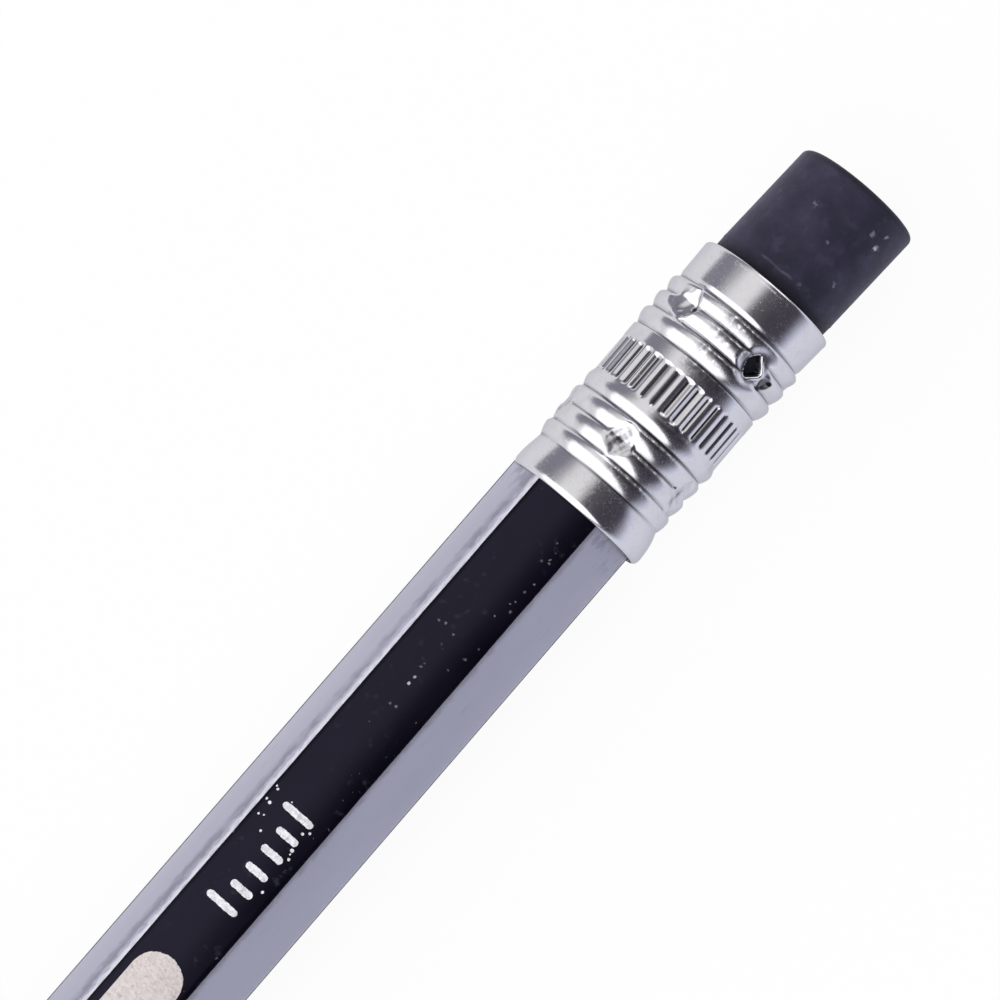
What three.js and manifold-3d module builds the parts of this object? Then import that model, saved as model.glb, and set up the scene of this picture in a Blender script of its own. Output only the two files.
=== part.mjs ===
// A wood-cased pencil with a rubber eraser held in a beaded, fluted and pricked aluminium ferrule.
// Millimetres, +Z up. The pencil lies along X on one of its six flats, with its eraser towards +X.
// The origin is under the middle of the pencil, on the surface that it lies on.

import * as THREE from "three";
import { mergeVertices, toCreasedNormals } from "three/addons/utils/BufferGeometryUtils.js";
import Module from "manifold-3d";

const wasm = await Module();
wasm.setup();

const DEGREE = Math.PI / 180;

// Casing: two grooved slats glued round the core, shaped to a hexagon, lacquered and striped
const casingLength = 173.4; // from the point to the end that sits in the ferrule
const acrossFlats = 6.9; // over the base lacquer
const edgeRadius = 0.8; // on the six long edges, over the base lacquer
const baseCoat = 0.12;
const stripeCoat = 0.04;
const stripeWrap = 27 * DEGREE; // how far a stripe turns round the edges of its flat
const glueFilm = 0.08;

// Core and sharpened point
const coreDiameter = 2.2;
const coreClearance = 0.03;
const pointHalfAngle = 10.5 * DEGREE;
const pointRadius = 0.3;

// Ferrule: one drawn tube, from its flared mouth on the casing to its rim round the eraser
const ferruleBore = 7.44;
const ferruleWall = 0.2;
const lowerCollar = 2.05;
const upperCollar = 2.29;
const upperFlare = 0.12;
const mouthGrip = 0.5; // how far the bare hexagon of wood reaches into the mouth
const mouthLand = 0.65; // straight part of the mouth, before it narrows to the bore
const mouthClearance = 0.04;
const tenonClearance = 0.05;
const lowerBeadCount = 4;
const upperBeadCount = 3;
const beadPitch = 1.04;
const beadHeight = 0.16;
const upperLand = 0.95; // plain stretch between the fluted band and the upper beads

// Fluted band between the two groups of beads
const bandLength = 2.5;
const bandMargin = 0.14; // slope at each end, down to the floor of the band
const bandSink = 0.06; // depth of the floor below the valleys between the beads
const fluteCount = 36;
const fluteHeight = 0.15;
const fluteCrestShare = 0.42; // share of the pitch on top of a flute
const fluteRootShare = 0.62; // share of the pitch at its root

// Pricks that stake the tube into the wood and into the rubber, made by a blunt pyramid of a punch
const prickCount = 5; // in each ring
const prickSides = 4;
const prickMouth = 0.55; // from the middle to a side, at the outside of the beads
const prickTip = 0.15; // from the middle to a side, at the bottom
const prickDepth = 0.75;
const prickClearance = 0.1;

// Eraser
const eraserExposed = 7;
const eraserGap = 0.6; // between the end of the wood and the rubber
const eraserClearance = 0.1;
const eraserEdge = 0.45;

// Fineness of the round faces
const roundSegments = 48;
const coreSegments = 24;
const pointSegments = 96;
const arcSteps = 4;
const outerBeadSteps = 4;
const innerBeadSteps = 2;
const creaseAngle = 35 * DEGREE;

// Sizes that follow from the ones above
const flatCount = 6;
const halfSide = Math.PI / flatCount;
const edgeCentre = (acrossFlats / 2 - edgeRadius) / Math.cos(halfSide);
const coatReach = edgeCentre + edgeRadius + stripeCoat;
const coreRadius = coreDiameter / 2;
const boreRadius = ferruleBore / 2;
const valleyRadius = boreRadius + ferruleWall;
const crestRadius = valleyRadius + beadHeight;
const mouthRadius = coatReach + mouthClearance;
const bandFloor = valleyRadius - bandSink;
const lowerBeads = lowerCollar;
const bandStart = lowerBeads + lowerBeadCount * beadPitch;
const bandEnd = bandStart + bandLength;
const upperBeads = bandEnd + upperLand;
const upperCollarStart = upperBeads + upperBeadCount * beadPitch;
const ferruleLength = upperCollarStart + upperCollar;
const casingDepth = bandStart + bandLength / 2; // the wood ends under the middle of the fluted band
const ferruleStart = casingLength - casingDepth;
const shoulder = ferruleStart + mouthGrip;
const eraserStart = casingLength + eraserGap;
const eraserEnd = ferruleStart + ferruleLength + eraserExposed;
const lowerPrickRing = (lowerBeads + bandStart) / 2;
const upperPrickRing = (upperBeads + upperCollarStart) / 2;
const prickPitch = (2 * Math.PI) / prickCount;
const restRadius = Math.max(mouthRadius + ferruleWall, crestRadius, valleyRadius + upperFlare);

// Finishes
const finishes = {
  wood: new THREE.MeshStandardMaterial({ color: 0xd6b184, roughness: 0.8 }),
  glue: new THREE.MeshStandardMaterial({ color: 0xc9ad78, roughness: 0.6 }),
  graphite: new THREE.MeshStandardMaterial({ color: 0x3a3a3f, roughness: 0.45, metalness: 0.3 }),
  silverLacquer: new THREE.MeshStandardMaterial({ color: 0xa7a6b3, roughness: 0.35, metalness: 0.35 }),
  blackLacquer: new THREE.MeshStandardMaterial({ color: 0x201f25, roughness: 0.3 }),
  aluminium: new THREE.MeshStandardMaterial({ color: 0xd5d5da, roughness: 0.25, metalness: 1 }),
  rubber: new THREE.MeshStandardMaterial({ color: 0x393542, roughness: 0.9 }),
};

// Lathe profiles turn about Y and outlines are extruded along Z: both are laid along X, with +Z still up.
const X = new THREE.Vector3(1, 0, 0);
const Y = new THREE.Vector3(0, 1, 0);
const Z = new THREE.Vector3(0, 0, 1);
const latheToPencil = new THREE.Matrix4().makeBasis(Y.clone().negate(), X, Z);
const extrusionToPencil = new THREE.Matrix4().makeBasis(Y, Z, X);
const latheToRadius = new THREE.Matrix4().makeBasis(X, Z, Y.clone().negate());

// Turns a profile of [distance along the pencil, radius] pairs about the pencil's axis.
function revolve(profile, segments) {
  const points = profile.map(([along, radius]) => new THREE.Vector2(radius, along));
  return new THREE.LatheGeometry(points, segments).applyMatrix4(latheToPencil);
}

// Extrudes an outline of [y, z] points along the pencil from 0 to length, round any hole.
function extrude(outline, length, hole) {
  const toVector = ([y, z]) => new THREE.Vector2(y, z);
  const shape = new THREE.Shape(outline.map(toVector));
  if (hole) shape.holes.push(new THREE.Path(hole.map(toVector)));
  const settings = { depth: length, steps: 1, bevelEnabled: false };
  return new THREE.ExtrudeGeometry(shape, settings).applyMatrix4(extrusionToPencil);
}

// A closed geometry as a solid that can be cut and joined.
function toSolid(geometry) {
  const bare = geometry.clone();
  bare.deleteAttribute("normal");
  bare.deleteAttribute("uv");
  const merged = mergeVertices(bare);
  const triVerts = new Uint32Array(merged.index.array);
  const vertProperties = merged.attributes.position.array;
  return new wasm.Manifold(new wasm.Mesh({ numProp: 3, vertProperties, triVerts }));
}

function toGeometry(solid) {
  const { numProp, vertProperties, triVerts } = solid.getMesh();
  const geometry = new THREE.BufferGeometry();
  const stored = new THREE.InterleavedBuffer(vertProperties, numProp);
  geometry.setAttribute("position", new THREE.InterleavedBufferAttribute(stored, 3, 0));
  geometry.setIndex(new THREE.BufferAttribute(triVerts, 1));
  return geometry.toNonIndexed();
}

function piece(name, geometry, finish, along = 0) {
  const mesh = new THREE.Mesh(toCreasedNormals(geometry, creaseAngle), finish);
  mesh.name = name;
  mesh.position.x = along;
  return mesh;
}

// Points on one rounded long edge. The turns include the places where a stripe can end.
function edgePoints(edgeAngle, radius, turns) {
  return turns.map((turn) => [
    edgeCentre * Math.cos(edgeAngle) + radius * Math.cos(edgeAngle + turn),
    edgeCentre * Math.sin(edgeAngle) + radius * Math.sin(edgeAngle + turn),
  ]);
}

const bareTurn = halfSide - stripeWrap;
const middleTurn = (halfSide + bareTurn) / 2;
const turnsBeforeStripe = [-halfSide, -middleTurn, -bareTurn];
const turnsAfterStripe = [bareTurn, middleTurn, halfSide];

// The hexagonal section, drawn in by inset, with a flat at the top and one at the bottom.
function hexagon(inset) {
  const turns = [...turnsBeforeStripe, ...turnsAfterStripe];
  const outline = [];
  for (let i = 0; i < flatCount; i++) {
    outline.push(...edgePoints(2 * halfSide * i, edgeRadius - inset, turns));
  }
  return outline;
}

// Everything that turning leaves of the blank: the sharpened cone, then full size, then the tenon.
function turnedEnvelope() {
  const fullRadius = 2 * coatReach;
  const apexToTip = pointRadius / Math.sin(pointHalfAngle) - pointRadius;
  const profile = [];
  for (let i = 0; i <= arcSteps; i++) {
    const turn = (i / arcSteps) * (Math.PI / 2 - pointHalfAngle);
    profile.push([pointRadius * (1 - Math.cos(turn)), pointRadius * Math.sin(turn)]);
  }
  profile.push([fullRadius / Math.tan(pointHalfAngle) - apexToTip, fullRadius]);
  profile.push([shoulder, fullRadius], [shoulder, boreRadius - tenonClearance]);
  profile.push([casingLength, boreRadius - tenonClearance], [casingLength, 0]);
  return toSolid(revolve(profile, pointSegments));
}

// A blunt pyramid that points at the axis, with its mouth on the crest of the beads and a corner along the pencil.
function prickPyramid(along, angle, grow) {
  const outside = crestRadius + beadHeight;
  const widening = (prickMouth - prickTip) / prickDepth;
  const bottom = crestRadius - prickDepth - grow;
  const profile = [
    [bottom, 0],
    [bottom, prickTip + grow],
    [outside, prickMouth + grow + widening * beadHeight],
    [outside, 0],
  ];
  const sideToCorner = 1 / Math.cos(Math.PI / prickSides);
  const points = profile.map(([height, reach]) => new THREE.Vector2(reach * sideToCorner, height));
  const pyramid = new THREE.LatheGeometry(points, prickSides).applyMatrix4(latheToRadius);
  return toSolid(pyramid.rotateX(angle).translate(along, 0, 0));
}

// The pricks of one ring: one at the top of the pencil, turned on by offset, and the rest round it.
function prickRing(along, offset, grow) {
  const pyramids = [];
  for (let i = 0; i < prickCount; i++) pyramids.push(prickPyramid(along, offset + i * prickPitch, grow));
  return pyramids.reduce((ring, pyramid) => ring.add(pyramid));
}

const lowerPrickOffset = 0;
const upperPrickOffset = prickPitch / 2;
const pocketGrow = ferruleWall + prickClearance;

// Casing pieces: the blank is turned, bored for the core and staked, then parted at the glue line
function buildCasing() {
  const casing = new THREE.Group();
  const envelope = turnedEnvelope();
  const coreBore = [
    [-coreRadius, 0],
    [-coreRadius, coreRadius + coreClearance],
    [casingLength + coreRadius, coreRadius + coreClearance],
    [casingLength + coreRadius, 0],
  ];
  const pockets = prickRing(ferruleStart + lowerPrickRing, lowerPrickOffset, pocketGrow);
  const blank = toSolid(extrude(hexagon(baseCoat), casingLength))
    .intersect(envelope)
    .subtract(toSolid(revolve(coreBore, coreSegments)))
    .subtract(pockets);

  const halfHeight = 2 * coatReach;
  const part = (y0, y1, z0, z1) => {
    const block = new THREE.BoxGeometry(2 * casingLength, y1 - y0, z1 - z0);
    block.translate(0, (y0 + y1) / 2, (z0 + z1) / 2);
    return toGeometry(blank.intersect(toSolid(block)));
  };
  const seam = glueFilm / 2;
  casing.add(
    piece("slat_upper", part(-halfHeight, halfHeight, seam, halfHeight), finishes.wood),
    piece("slat_lower", part(-halfHeight, halfHeight, -halfHeight, -seam), finishes.wood),
    piece("glue_film_left", part(0, halfHeight, -seam, seam), finishes.glue),
    piece("glue_film_right", part(-halfHeight, 0, -seam, seam), finishes.glue),
    piece("graphite_core", buildCore(), finishes.graphite),
    piece("base_lacquer", buildBaseLacquer(envelope), finishes.silverLacquer),
  );
  const stripedFlats = { top: Math.PI / 2, left: -halfSide, right: Math.PI + halfSide };
  for (const [side, angle] of Object.entries(stripedFlats)) {
    casing.add(piece(`black_stripe_${side}`, buildStripe(envelope, angle), finishes.blackLacquer));
  }
  return casing;
}

function buildCore() {
  const profile = [];
  for (let i = 0; i <= arcSteps; i++) {
    const turn = (i / arcSteps) * (Math.PI / 2 - pointHalfAngle);
    profile.push([pointRadius * (1 - Math.cos(turn)), pointRadius * Math.sin(turn)]);
  }
  const [tangentAlong, tangentRadius] = profile.at(-1);
  const coneLength = (coreRadius - tangentRadius) / Math.tan(pointHalfAngle);
  profile.push([tangentAlong + coneLength, coreRadius], [casingLength, coreRadius], [casingLength, 0]);
  return revolve(profile, coreSegments);
}

function buildBaseLacquer(envelope) {
  const coat = toSolid(extrude(hexagon(0), ferruleStart, hexagon(baseCoat)));
  return toGeometry(coat.intersect(envelope));
}

// A stripe covers one flat and turns a little way round the edge on each side of it.
function buildStripe(envelope, flatAngle) {
  const before = flatAngle - halfSide;
  const after = flatAngle + halfSide;
  const skin = (radius) => [
    ...edgePoints(before, radius, turnsAfterStripe),
    ...edgePoints(after, radius, turnsBeforeStripe),
  ];
  const outline = [...skin(edgeRadius + stripeCoat), ...skin(edgeRadius).reverse()];
  return toGeometry(toSolid(extrude(outline, ferruleStart)).intersect(envelope));
}

// Beads rolled into the tube, as half ellipses that rise from the valleys between them.
function beadProfile(start, count, valley, steps) {
  const profile = [];
  for (let i = 0; i < count * steps; i++) {
    const turn = ((i % steps) / steps) * Math.PI;
    const bead = Math.floor(i / steps);
    profile.push([
      start + beadPitch * (bead + (1 - Math.cos(turn)) / 2),
      valley + beadHeight * Math.sin(turn),
    ]);
  }
  return profile;
}

// Lands that stand on the floor of the fluted band, as one ring rooted inside the wall.
function buildFlutes() {
  const pitch = (2 * Math.PI) / fluteCount;
  const root = (boreRadius + bandFloor) / 2;
  const crest = bandFloor + fluteHeight;
  const outline = [];
  for (let i = 0; i < fluteCount; i++) {
    const corners = [
      [root, -fluteRootShare / 2],
      [crest, -fluteCrestShare / 2],
      [crest, fluteCrestShare / 2],
      [root, fluteRootShare / 2],
    ];
    for (const [radius, share] of corners) {
      const angle = pitch * (i + share);
      outline.push([radius * Math.cos(angle), radius * Math.sin(angle)]);
    }
  }
  const length = bandLength - 2 * bandMargin;
  const hole = [];
  for (let i = 0; i < roundSegments; i++) {
    const angle = (2 * Math.PI * i) / roundSegments;
    const radius = (boreRadius + root) / 2;
    hole.push([radius * Math.cos(angle), radius * Math.sin(angle)]);
  }
  return toSolid(extrude(outline, length, hole).translate(bandStart + bandMargin, 0, 0));
}

function buildFerrule() {
  const outside = [
    [0, mouthRadius + ferruleWall],
    [mouthLand, mouthRadius + ferruleWall],
    ...beadProfile(lowerBeads, lowerBeadCount, valleyRadius, outerBeadSteps),
    [bandStart, valleyRadius],
    [bandStart + bandMargin, bandFloor],
    [bandEnd - bandMargin, bandFloor],
    [bandEnd, valleyRadius],
    ...beadProfile(upperBeads, upperBeadCount, valleyRadius, outerBeadSteps),
    [upperCollarStart, valleyRadius],
    [ferruleLength, valleyRadius + upperFlare],
  ];
  const inside = [
    [0, mouthRadius],
    [mouthLand, mouthRadius],
    ...beadProfile(lowerBeads, lowerBeadCount, boreRadius, innerBeadSteps),
    [bandStart, boreRadius],
    ...beadProfile(upperBeads, upperBeadCount, boreRadius, innerBeadSteps),
    [upperCollarStart, boreRadius],
    [ferruleLength, boreRadius + upperFlare],
  ];
  const tube = toSolid(revolve([...outside, ...inside.reverse(), outside[0]], roundSegments));
  const rings = [
    [lowerPrickRing, lowerPrickOffset],
    [upperPrickRing, upperPrickOffset],
  ];
  const filled = toSolid(revolve([[0, 0], ...outside, [ferruleLength, 0]], roundSegments));
  let ferrule = tube.add(buildFlutes());
  for (const [along, offset] of rings) {
    ferrule = ferrule.add(prickRing(along, offset, ferruleWall).intersect(filled));
  }
  for (const [along, offset] of rings) ferrule = ferrule.subtract(prickRing(along, offset, 0));
  return piece("ferrule", toGeometry(ferrule), finishes.aluminium, ferruleStart);
}

function buildEraser() {
  const radius = boreRadius - eraserClearance;
  const length = eraserEnd - eraserStart;
  const profile = [
    [0, 0],
    [0, radius],
  ];
  for (let i = 0; i <= arcSteps; i++) {
    const turn = (i / arcSteps) * (Math.PI / 2);
    profile.push([length - eraserEdge * (1 - Math.sin(turn)), radius - eraserEdge * (1 - Math.cos(turn))]);
  }
  profile.push([length, 0]);
  const ring = ferruleStart + upperPrickRing - eraserStart;
  const plug = toSolid(revolve(profile, roundSegments)).subtract(prickRing(ring, upperPrickOffset, pocketGrow));
  return piece("eraser_plug", toGeometry(plug), finishes.rubber, eraserStart);
}

const pencil = new THREE.Group();
pencil.add(buildCasing(), buildFerrule(), buildEraser());
pencil.position.set(-eraserEnd / 2, 0, restRadius);

const part = new THREE.Group();
part.add(pencil);

export default part;
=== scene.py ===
import math

import bpy
import numpy as np
from mathutils import Matrix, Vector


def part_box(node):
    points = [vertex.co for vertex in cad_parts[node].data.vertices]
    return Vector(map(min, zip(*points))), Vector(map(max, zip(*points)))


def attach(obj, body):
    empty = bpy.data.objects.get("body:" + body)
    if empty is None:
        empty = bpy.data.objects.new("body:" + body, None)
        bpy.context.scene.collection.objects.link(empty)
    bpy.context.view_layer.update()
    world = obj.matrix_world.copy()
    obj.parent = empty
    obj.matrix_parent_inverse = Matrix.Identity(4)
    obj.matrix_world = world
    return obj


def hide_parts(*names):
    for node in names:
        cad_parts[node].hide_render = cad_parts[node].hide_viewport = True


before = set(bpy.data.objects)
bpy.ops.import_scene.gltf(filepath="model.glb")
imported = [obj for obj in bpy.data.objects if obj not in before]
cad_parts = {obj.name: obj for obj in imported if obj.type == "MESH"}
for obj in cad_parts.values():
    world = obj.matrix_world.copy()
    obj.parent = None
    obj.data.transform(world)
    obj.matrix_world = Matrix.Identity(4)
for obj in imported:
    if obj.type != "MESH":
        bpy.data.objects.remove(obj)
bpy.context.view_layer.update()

# Graphite core: a fired rod of clay and graphite, glued into the groove of the two slats.
# The sharpener cuts it to a cone together with the wood and leaves fine rings on it.

MM = 0.001
core_low, core_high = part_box("graphite_core")
tip = core_low.x
axis_height = (core_low.z + core_high.z) / 2
core_radius = (core_high.y - core_low.y) / 2
point_angle = math.radians(10.5)
point_radius = 0.3 * MM
apex = tip - point_radius / math.sin(point_angle) + point_radius


def cone_radius(along):
    return (along - apex) * math.tan(point_angle)


def cone_place(radius):
    return apex + radius / math.tan(point_angle)


def about_axis(along, radius, turn, offset=0.0):
    """Points round the axis, turned from the top of the pencil towards -Y, and set off that way."""
    along, radius, turn = np.broadcast_arrays(along, radius, turn)
    across = -radius * np.sin(turn) - offset
    height = axis_height + radius * np.cos(turn)
    return np.stack([along, across, height], axis=-1)


def skin(name, grid, loops=False, capped=False, crease=40):
    """A closed mesh through rings of points. The last ring joins the first, or both ends are capped."""
    rows, columns = grid.shape[:2]
    index = np.arange(rows * columns).reshape(rows, columns)
    index = np.concatenate([index, index[:, :1]], axis=1)
    if loops:
        index = np.concatenate([index, index[:1]], axis=0)
    corners = [index[:-1, :-1], index[:-1, 1:], index[1:, 1:], index[1:, :-1]]
    faces = np.stack(corners, axis=-1).reshape(-1, 4).tolist()
    if capped:
        faces.append(index[0, :columns][::-1].tolist())
        faces.append(index[-1, :columns].tolist())
    mesh = bpy.data.meshes.new(name)
    mesh.from_pydata(grid.reshape(-1, 3).tolist(), [], faces)
    mesh.shade_smooth()
    mesh.set_sharp_from_angle(angle=math.radians(crease))
    piece = bpy.data.objects.new(name, mesh)
    bpy.context.scene.collection.objects.link(piece)
    return piece


class Wire:
    """An output of a node. Sums on it add Math nodes, and node() adds any other node beside it."""

    def __init__(self, tree, socket=None):
        self.tree = tree
        self.socket = socket

    def node(self, kind, settings=None, sockets=None, output=0):
        made = self.tree.nodes.new("ShaderNode" + kind)
        for name, value in (settings or {}).items():
            setattr(made, name, value)
        for name, value in (sockets or {}).items():
            if isinstance(value, Wire):
                self.tree.links.new(value.socket, made.inputs[name])
            else:
                made.inputs[name].default_value = value
        return Wire(self.tree, made.outputs[output] if made.outputs else None)

    def math(self, operation, first, second):
        return self.node("Math", {"operation": operation}, {0: first, 1: second})

    def __add__(self, other):
        return self.math("ADD", self, other)

    def __radd__(self, other):
        return self.math("ADD", other, self)

    def __sub__(self, other):
        return self.math("SUBTRACT", self, other)

    def __rsub__(self, other):
        return self.math("SUBTRACT", other, self)

    def __mul__(self, other):
        return self.math("MULTIPLY", self, other)

    def __rmul__(self, other):
        return self.math("MULTIPLY", other, self)

    def between(self, low, high):
        """0 below low, 1 above high and smooth between."""
        sockets = {"Value": self, "From Min": low, "From Max": high}
        return self.node("MapRange", {"interpolation_type": "SMOOTHSTEP"}, sockets)

    def blend(self, first, second):
        """The first colour where this mask is 0 and the second where it is 1."""
        return self.node("Mix", {"data_type": "RGBA"}, {0: self, 6: first, 7: second}, 2)

    def noise(self, scale, detail=2.0, stretch=(1, 1, 1)):
        """Noise with this many lumps for each millimetre, on a place that is stretched first."""
        place = self.node("VectorMath", {"operation": "MULTIPLY"}, {0: self, 1: stretch})
        return place.node("TexNoise", {}, {"Vector": place, "Scale": scale, "Detail": detail})

    def part(self, axis):
        return self.node("SeparateXYZ", {}, {"Vector": self}, axis)

    def bump(self, strength, depth):
        """A normal that follows this height."""
        return self.node("Bump", {}, {"Strength": strength, "Distance": depth, "Height": self})


def place_in(material):
    """The place on the piece in millimetres, to start a new material from."""
    material.use_nodes = True
    material.node_tree.nodes.clear()
    start = Wire(material.node_tree).node("TexCoord", output="Object")
    return start.node("VectorMath", {"operation": "SCALE"}, {0: start, "Scale": 1 / MM}, "Vector")


def show(place, sockets):
    """Closes a material with its shader."""
    shader = place.node("BsdfPrincipled", {}, sockets)
    place.node("OutputMaterial", {}, {"Surface": shader})


def dress(piece, material, slot, *nodes):
    """Gives a piece its finish and lets it stand for its CAD nodes."""
    piece.data.materials.append(material)
    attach(piece, "root")
    if nodes:
        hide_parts(*nodes)


graphite = bpy.data.materials.new("graphite")
place = place_in(graphite)
streak = place.noise(2.2, 4.0, (9, 1, 1))
grain = place.noise(14.0, 3.0)
show(place, {
    "Base Color": streak.blend((0.018, 0.018, 0.021, 1), (0.062, 0.062, 0.07, 1)),
    "Roughness": 0.3 + 0.25 * grain,
    "Metallic": 0.35,
    "Normal": (streak + 0.4 * grain).bump(0.35, 0.03 * MM),
})

full_turn = 2 * math.pi
lead_turns = np.linspace(0, full_turn, 72, endpoint=False)
tip_arc = np.linspace(0.03, math.pi / 2 - point_angle, 9)
lead_places = [tip + point_radius * (1 - math.cos(turn)) for turn in tip_arc]
lead_radii = [point_radius * math.sin(turn) for turn in tip_arc]
tip_edge = lead_radii[-1]
for share in np.linspace(0.05, 1, 24):
    radius = tip_edge + share * (core_radius - tip_edge)
    lead_places.append(cone_place(radius))
    lead_radii.append(radius)
lead_places.append(core_high.x)
lead_radii.append(core_radius)
lead_grid = about_axis(np.array(lead_places)[:, None], np.array(lead_radii)[:, None], lead_turns)
lead = skin("pencil_lead", lead_grid, capped=True)
dress(lead, graphite, "graphite", "graphite_core")

# Wood slats: two grooved halves of a light, straight-grained wood, glued face to face round the core.
# They are shaped to a hexagon and sharpened to a cone at one end.
# At the other end they are turned to a tenon, a little off centre.

wood_low, wood_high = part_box("slat_upper")
ferrule_low, ferrule_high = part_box("ferrule")
lacquer_low, lacquer_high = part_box("base_lacquer")
flat_height = axis_height - lacquer_low.z
wood_flat = wood_high.z - axis_height
coat = flat_height - wood_flat
seam = wood_low.z - axis_height
corner_reach = 3.83 * MM
edge_radius = 0.9 * MM
edge_centre = corner_reach - edge_radius
swell = 0.09 * MM
edge_drop = flat_height + swell - edge_centre * math.cos(math.pi / 6)
flat_arc = (edge_centre**2 / 4 + edge_drop**2 - edge_radius**2) / (2 * (edge_drop - edge_radius))
arc_depth = flat_arc - flat_height - swell
groove_radius = core_radius + 0.03 * MM
feather_edge = 0.004 * MM
tenon_radius = 3.67 * MM
tenon_offset = 0.26 * MM
shoulder = ferrule_low.x + 0.5 * MM
middle_place = lacquer_low.x + 30 * MM

flat_bend = math.asin(edge_centre / 2 / (flat_arc - edge_radius))
flat_end = math.atan2(flat_arc * math.sin(flat_bend), flat_arc * math.cos(flat_bend) - arc_depth)
sector = np.concatenate([
    np.linspace(-math.pi / 6, -flat_end, 10, endpoint=False),
    np.linspace(-flat_end, flat_end, 12, endpoint=False),
    np.linspace(flat_end, math.pi / 6, 10, endpoint=False),
])
hexagon_turns = np.concatenate([sector + k * math.pi / 3 for k in range(6)])


def hexagon_reach(turn, inset):
    """How far the rounded hexagon, whose flats swell a little, reaches from the axis at a turn."""
    off = np.abs((turn + math.pi / 6) % (math.pi / 3) - math.pi / 6)
    flat = np.sqrt((flat_arc - inset) ** 2 - (arc_depth * np.sin(off)) ** 2) - arc_depth * np.cos(off)
    lean = math.pi / 6 - off
    inside = np.maximum((edge_radius - inset) ** 2 - (edge_centre * np.sin(lean)) ** 2, 0)
    rounded = edge_centre * np.cos(lean) + np.sqrt(inside)
    return np.where(off < flat_end, flat, rounded)


wood = bpy.data.materials.new("casing_wood")
place = place_in(wood)
wobble = place.noise(0.12, 2.0, (0.3, 1, 1))
across_grain = 0.9 * place.part("Y") + 0.55 * place.part("Z") + 3.0 * wobble
late_wood = place.node("Math", {"operation": "SINE"}, {0: 3.4 * across_grain}).between(-0.2, 1.0)
fibre = place.noise(6.0, 4.0, (0.05, 1, 1))
pore = place.noise(9.0, 2.0, (0.14, 1, 1)).between(0.62, 0.72)
pale = fibre.blend((0.60, 0.40, 0.215, 1), (0.74, 0.53, 0.31, 1))
ringed = (0.5 * late_wood).blend(pale, (0.46, 0.265, 0.12, 1))
show(place, {
    "Base Color": (0.45 * pore).blend(ringed, (0.30, 0.16, 0.07, 1)),
    "Roughness": 0.62 + 0.2 * fibre,
    "Normal": (fibre - 0.6 * pore).bump(0.5, 0.05 * MM),
})

for side, middle in (("upper", 0.0), ("lower", math.pi)):
    outer_turns = hexagon_turns[np.cos(hexagon_turns - middle) > 1e-6]
    outer_turns = np.sort((outer_turns - middle + math.pi) % full_turn - math.pi)
    outer_turns = np.concatenate([[-math.pi / 2], outer_turns, [math.pi / 2]]) + middle
    groove_turns = np.linspace(math.pi / 2, -math.pi / 2, 40) + middle
    reach = hexagon_reach(outer_turns, coat)
    cone_start = cone_place(groove_radius + feather_edge)
    stations = []
    for share in np.linspace(0, 1, 30):
        places = cone_start + share * (cone_place(reach) - cone_start)
        groove_place = cone_start + share * (cone_place(wood_flat) - cone_start)
        stations.append((places, cone_radius(places), groove_place, 0.0))
    for along in (middle_place, shoulder):
        stations.append((along, reach, along, 0.0))
    for along in (shoulder, wood_high.x):
        stations.append((along, np.minimum(reach, tenon_radius), along, tenon_offset))
    rows = []
    for places, radii, groove_place, offset in stations:
        outer = about_axis(places, radii, outer_turns, offset)
        groove = about_axis(groove_place, groove_radius, groove_turns)
        rows.append(np.concatenate([outer, groove]))
    slat_grid = np.array(rows)
    heights = slat_grid[:, :, 2] - axis_height
    clear = np.maximum(heights, seam) if side == "upper" else np.minimum(heights, -seam)
    slat_grid[:, :, 2] = axis_height + clear
    slat = skin(f"wood_slat_{side}", slat_grid, capped=True)
    dress(slat, wood, "casing_wood", f"slat_{side}")

# Glue films: the thin dried line of adhesive on each side of the core, between the two slats.
# It shows only as a fine brown line on the sharpened cone.

glue = bpy.data.materials.new("dried_glue")
place = place_in(glue)
mottle = place.noise(5.0, 3.0, (0.3, 1, 1))
show(place, {
    "Base Color": mottle.blend((0.30, 0.17, 0.07, 1), (0.44, 0.28, 0.13, 1)),
    "Roughness": 0.45 + 0.2 * mottle,
})
film_reach = float(hexagon_reach(math.pi / 2, coat))
film_stations = (
    (cone_start, cone_radius(cone_start), 0.0),
    (cone_place(film_reach), film_reach, 0.0),
    (shoulder, film_reach, 0.0),
    (shoulder, tenon_radius, tenon_offset),
    (wood_high.x, tenon_radius, tenon_offset),
)
for side, towards in (("left", 1), ("right", -1)):
    rows = []
    for along, reach, offset in film_stations:
        inner, outer = towards * groove_radius, towards * reach - offset
        corners = [(inner, seam), (outer, seam), (outer, -seam), (inner, -seam)][::towards]
        rows.append([(along, across, axis_height + height) for across, height in corners])
    film = skin(f"glue_line_{side}", np.array(rows), capped=True)
    dress(film, glue, "glue", f"glue_film_{side}")

# Base lacquer: several coats of a silver-grey metallic lacquer over all six flats.
# Drying draws the film to the middle of each flat, and the sharpener leaves a scalloped, chipped edge.

mouth_cover = 0.12 * MM
chip_depth = 0.09 * MM
lining_edge = 3 * MM


def turn_at(place):
    """The turn round the pencil's axis in degrees, from its top towards -Y."""
    height = place.part("Z") - axis_height / MM
    return place.math("ARCTAN2", -1 * place.part("Y"), height) * math.degrees(1)


silver = bpy.data.materials.new("silver_lacquer")
place = place_in(silver)
flake = place.noise(26.0, 2.0)
drift = place.noise(0.5, 3.0, (0.25, 1, 1))
scuff = place.noise(5.0, 4.0, (0.12, 1, 1)).between(0.66, 0.78)
ragged = place.noise(2.6, 4.0, (0.6, 1, 1)).between(0.3, 0.7)
broken = place.noise(0.9, 3.0, (0.7, 1, 1)).between(0.4, 0.56)
turn = turn_at(place)
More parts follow.
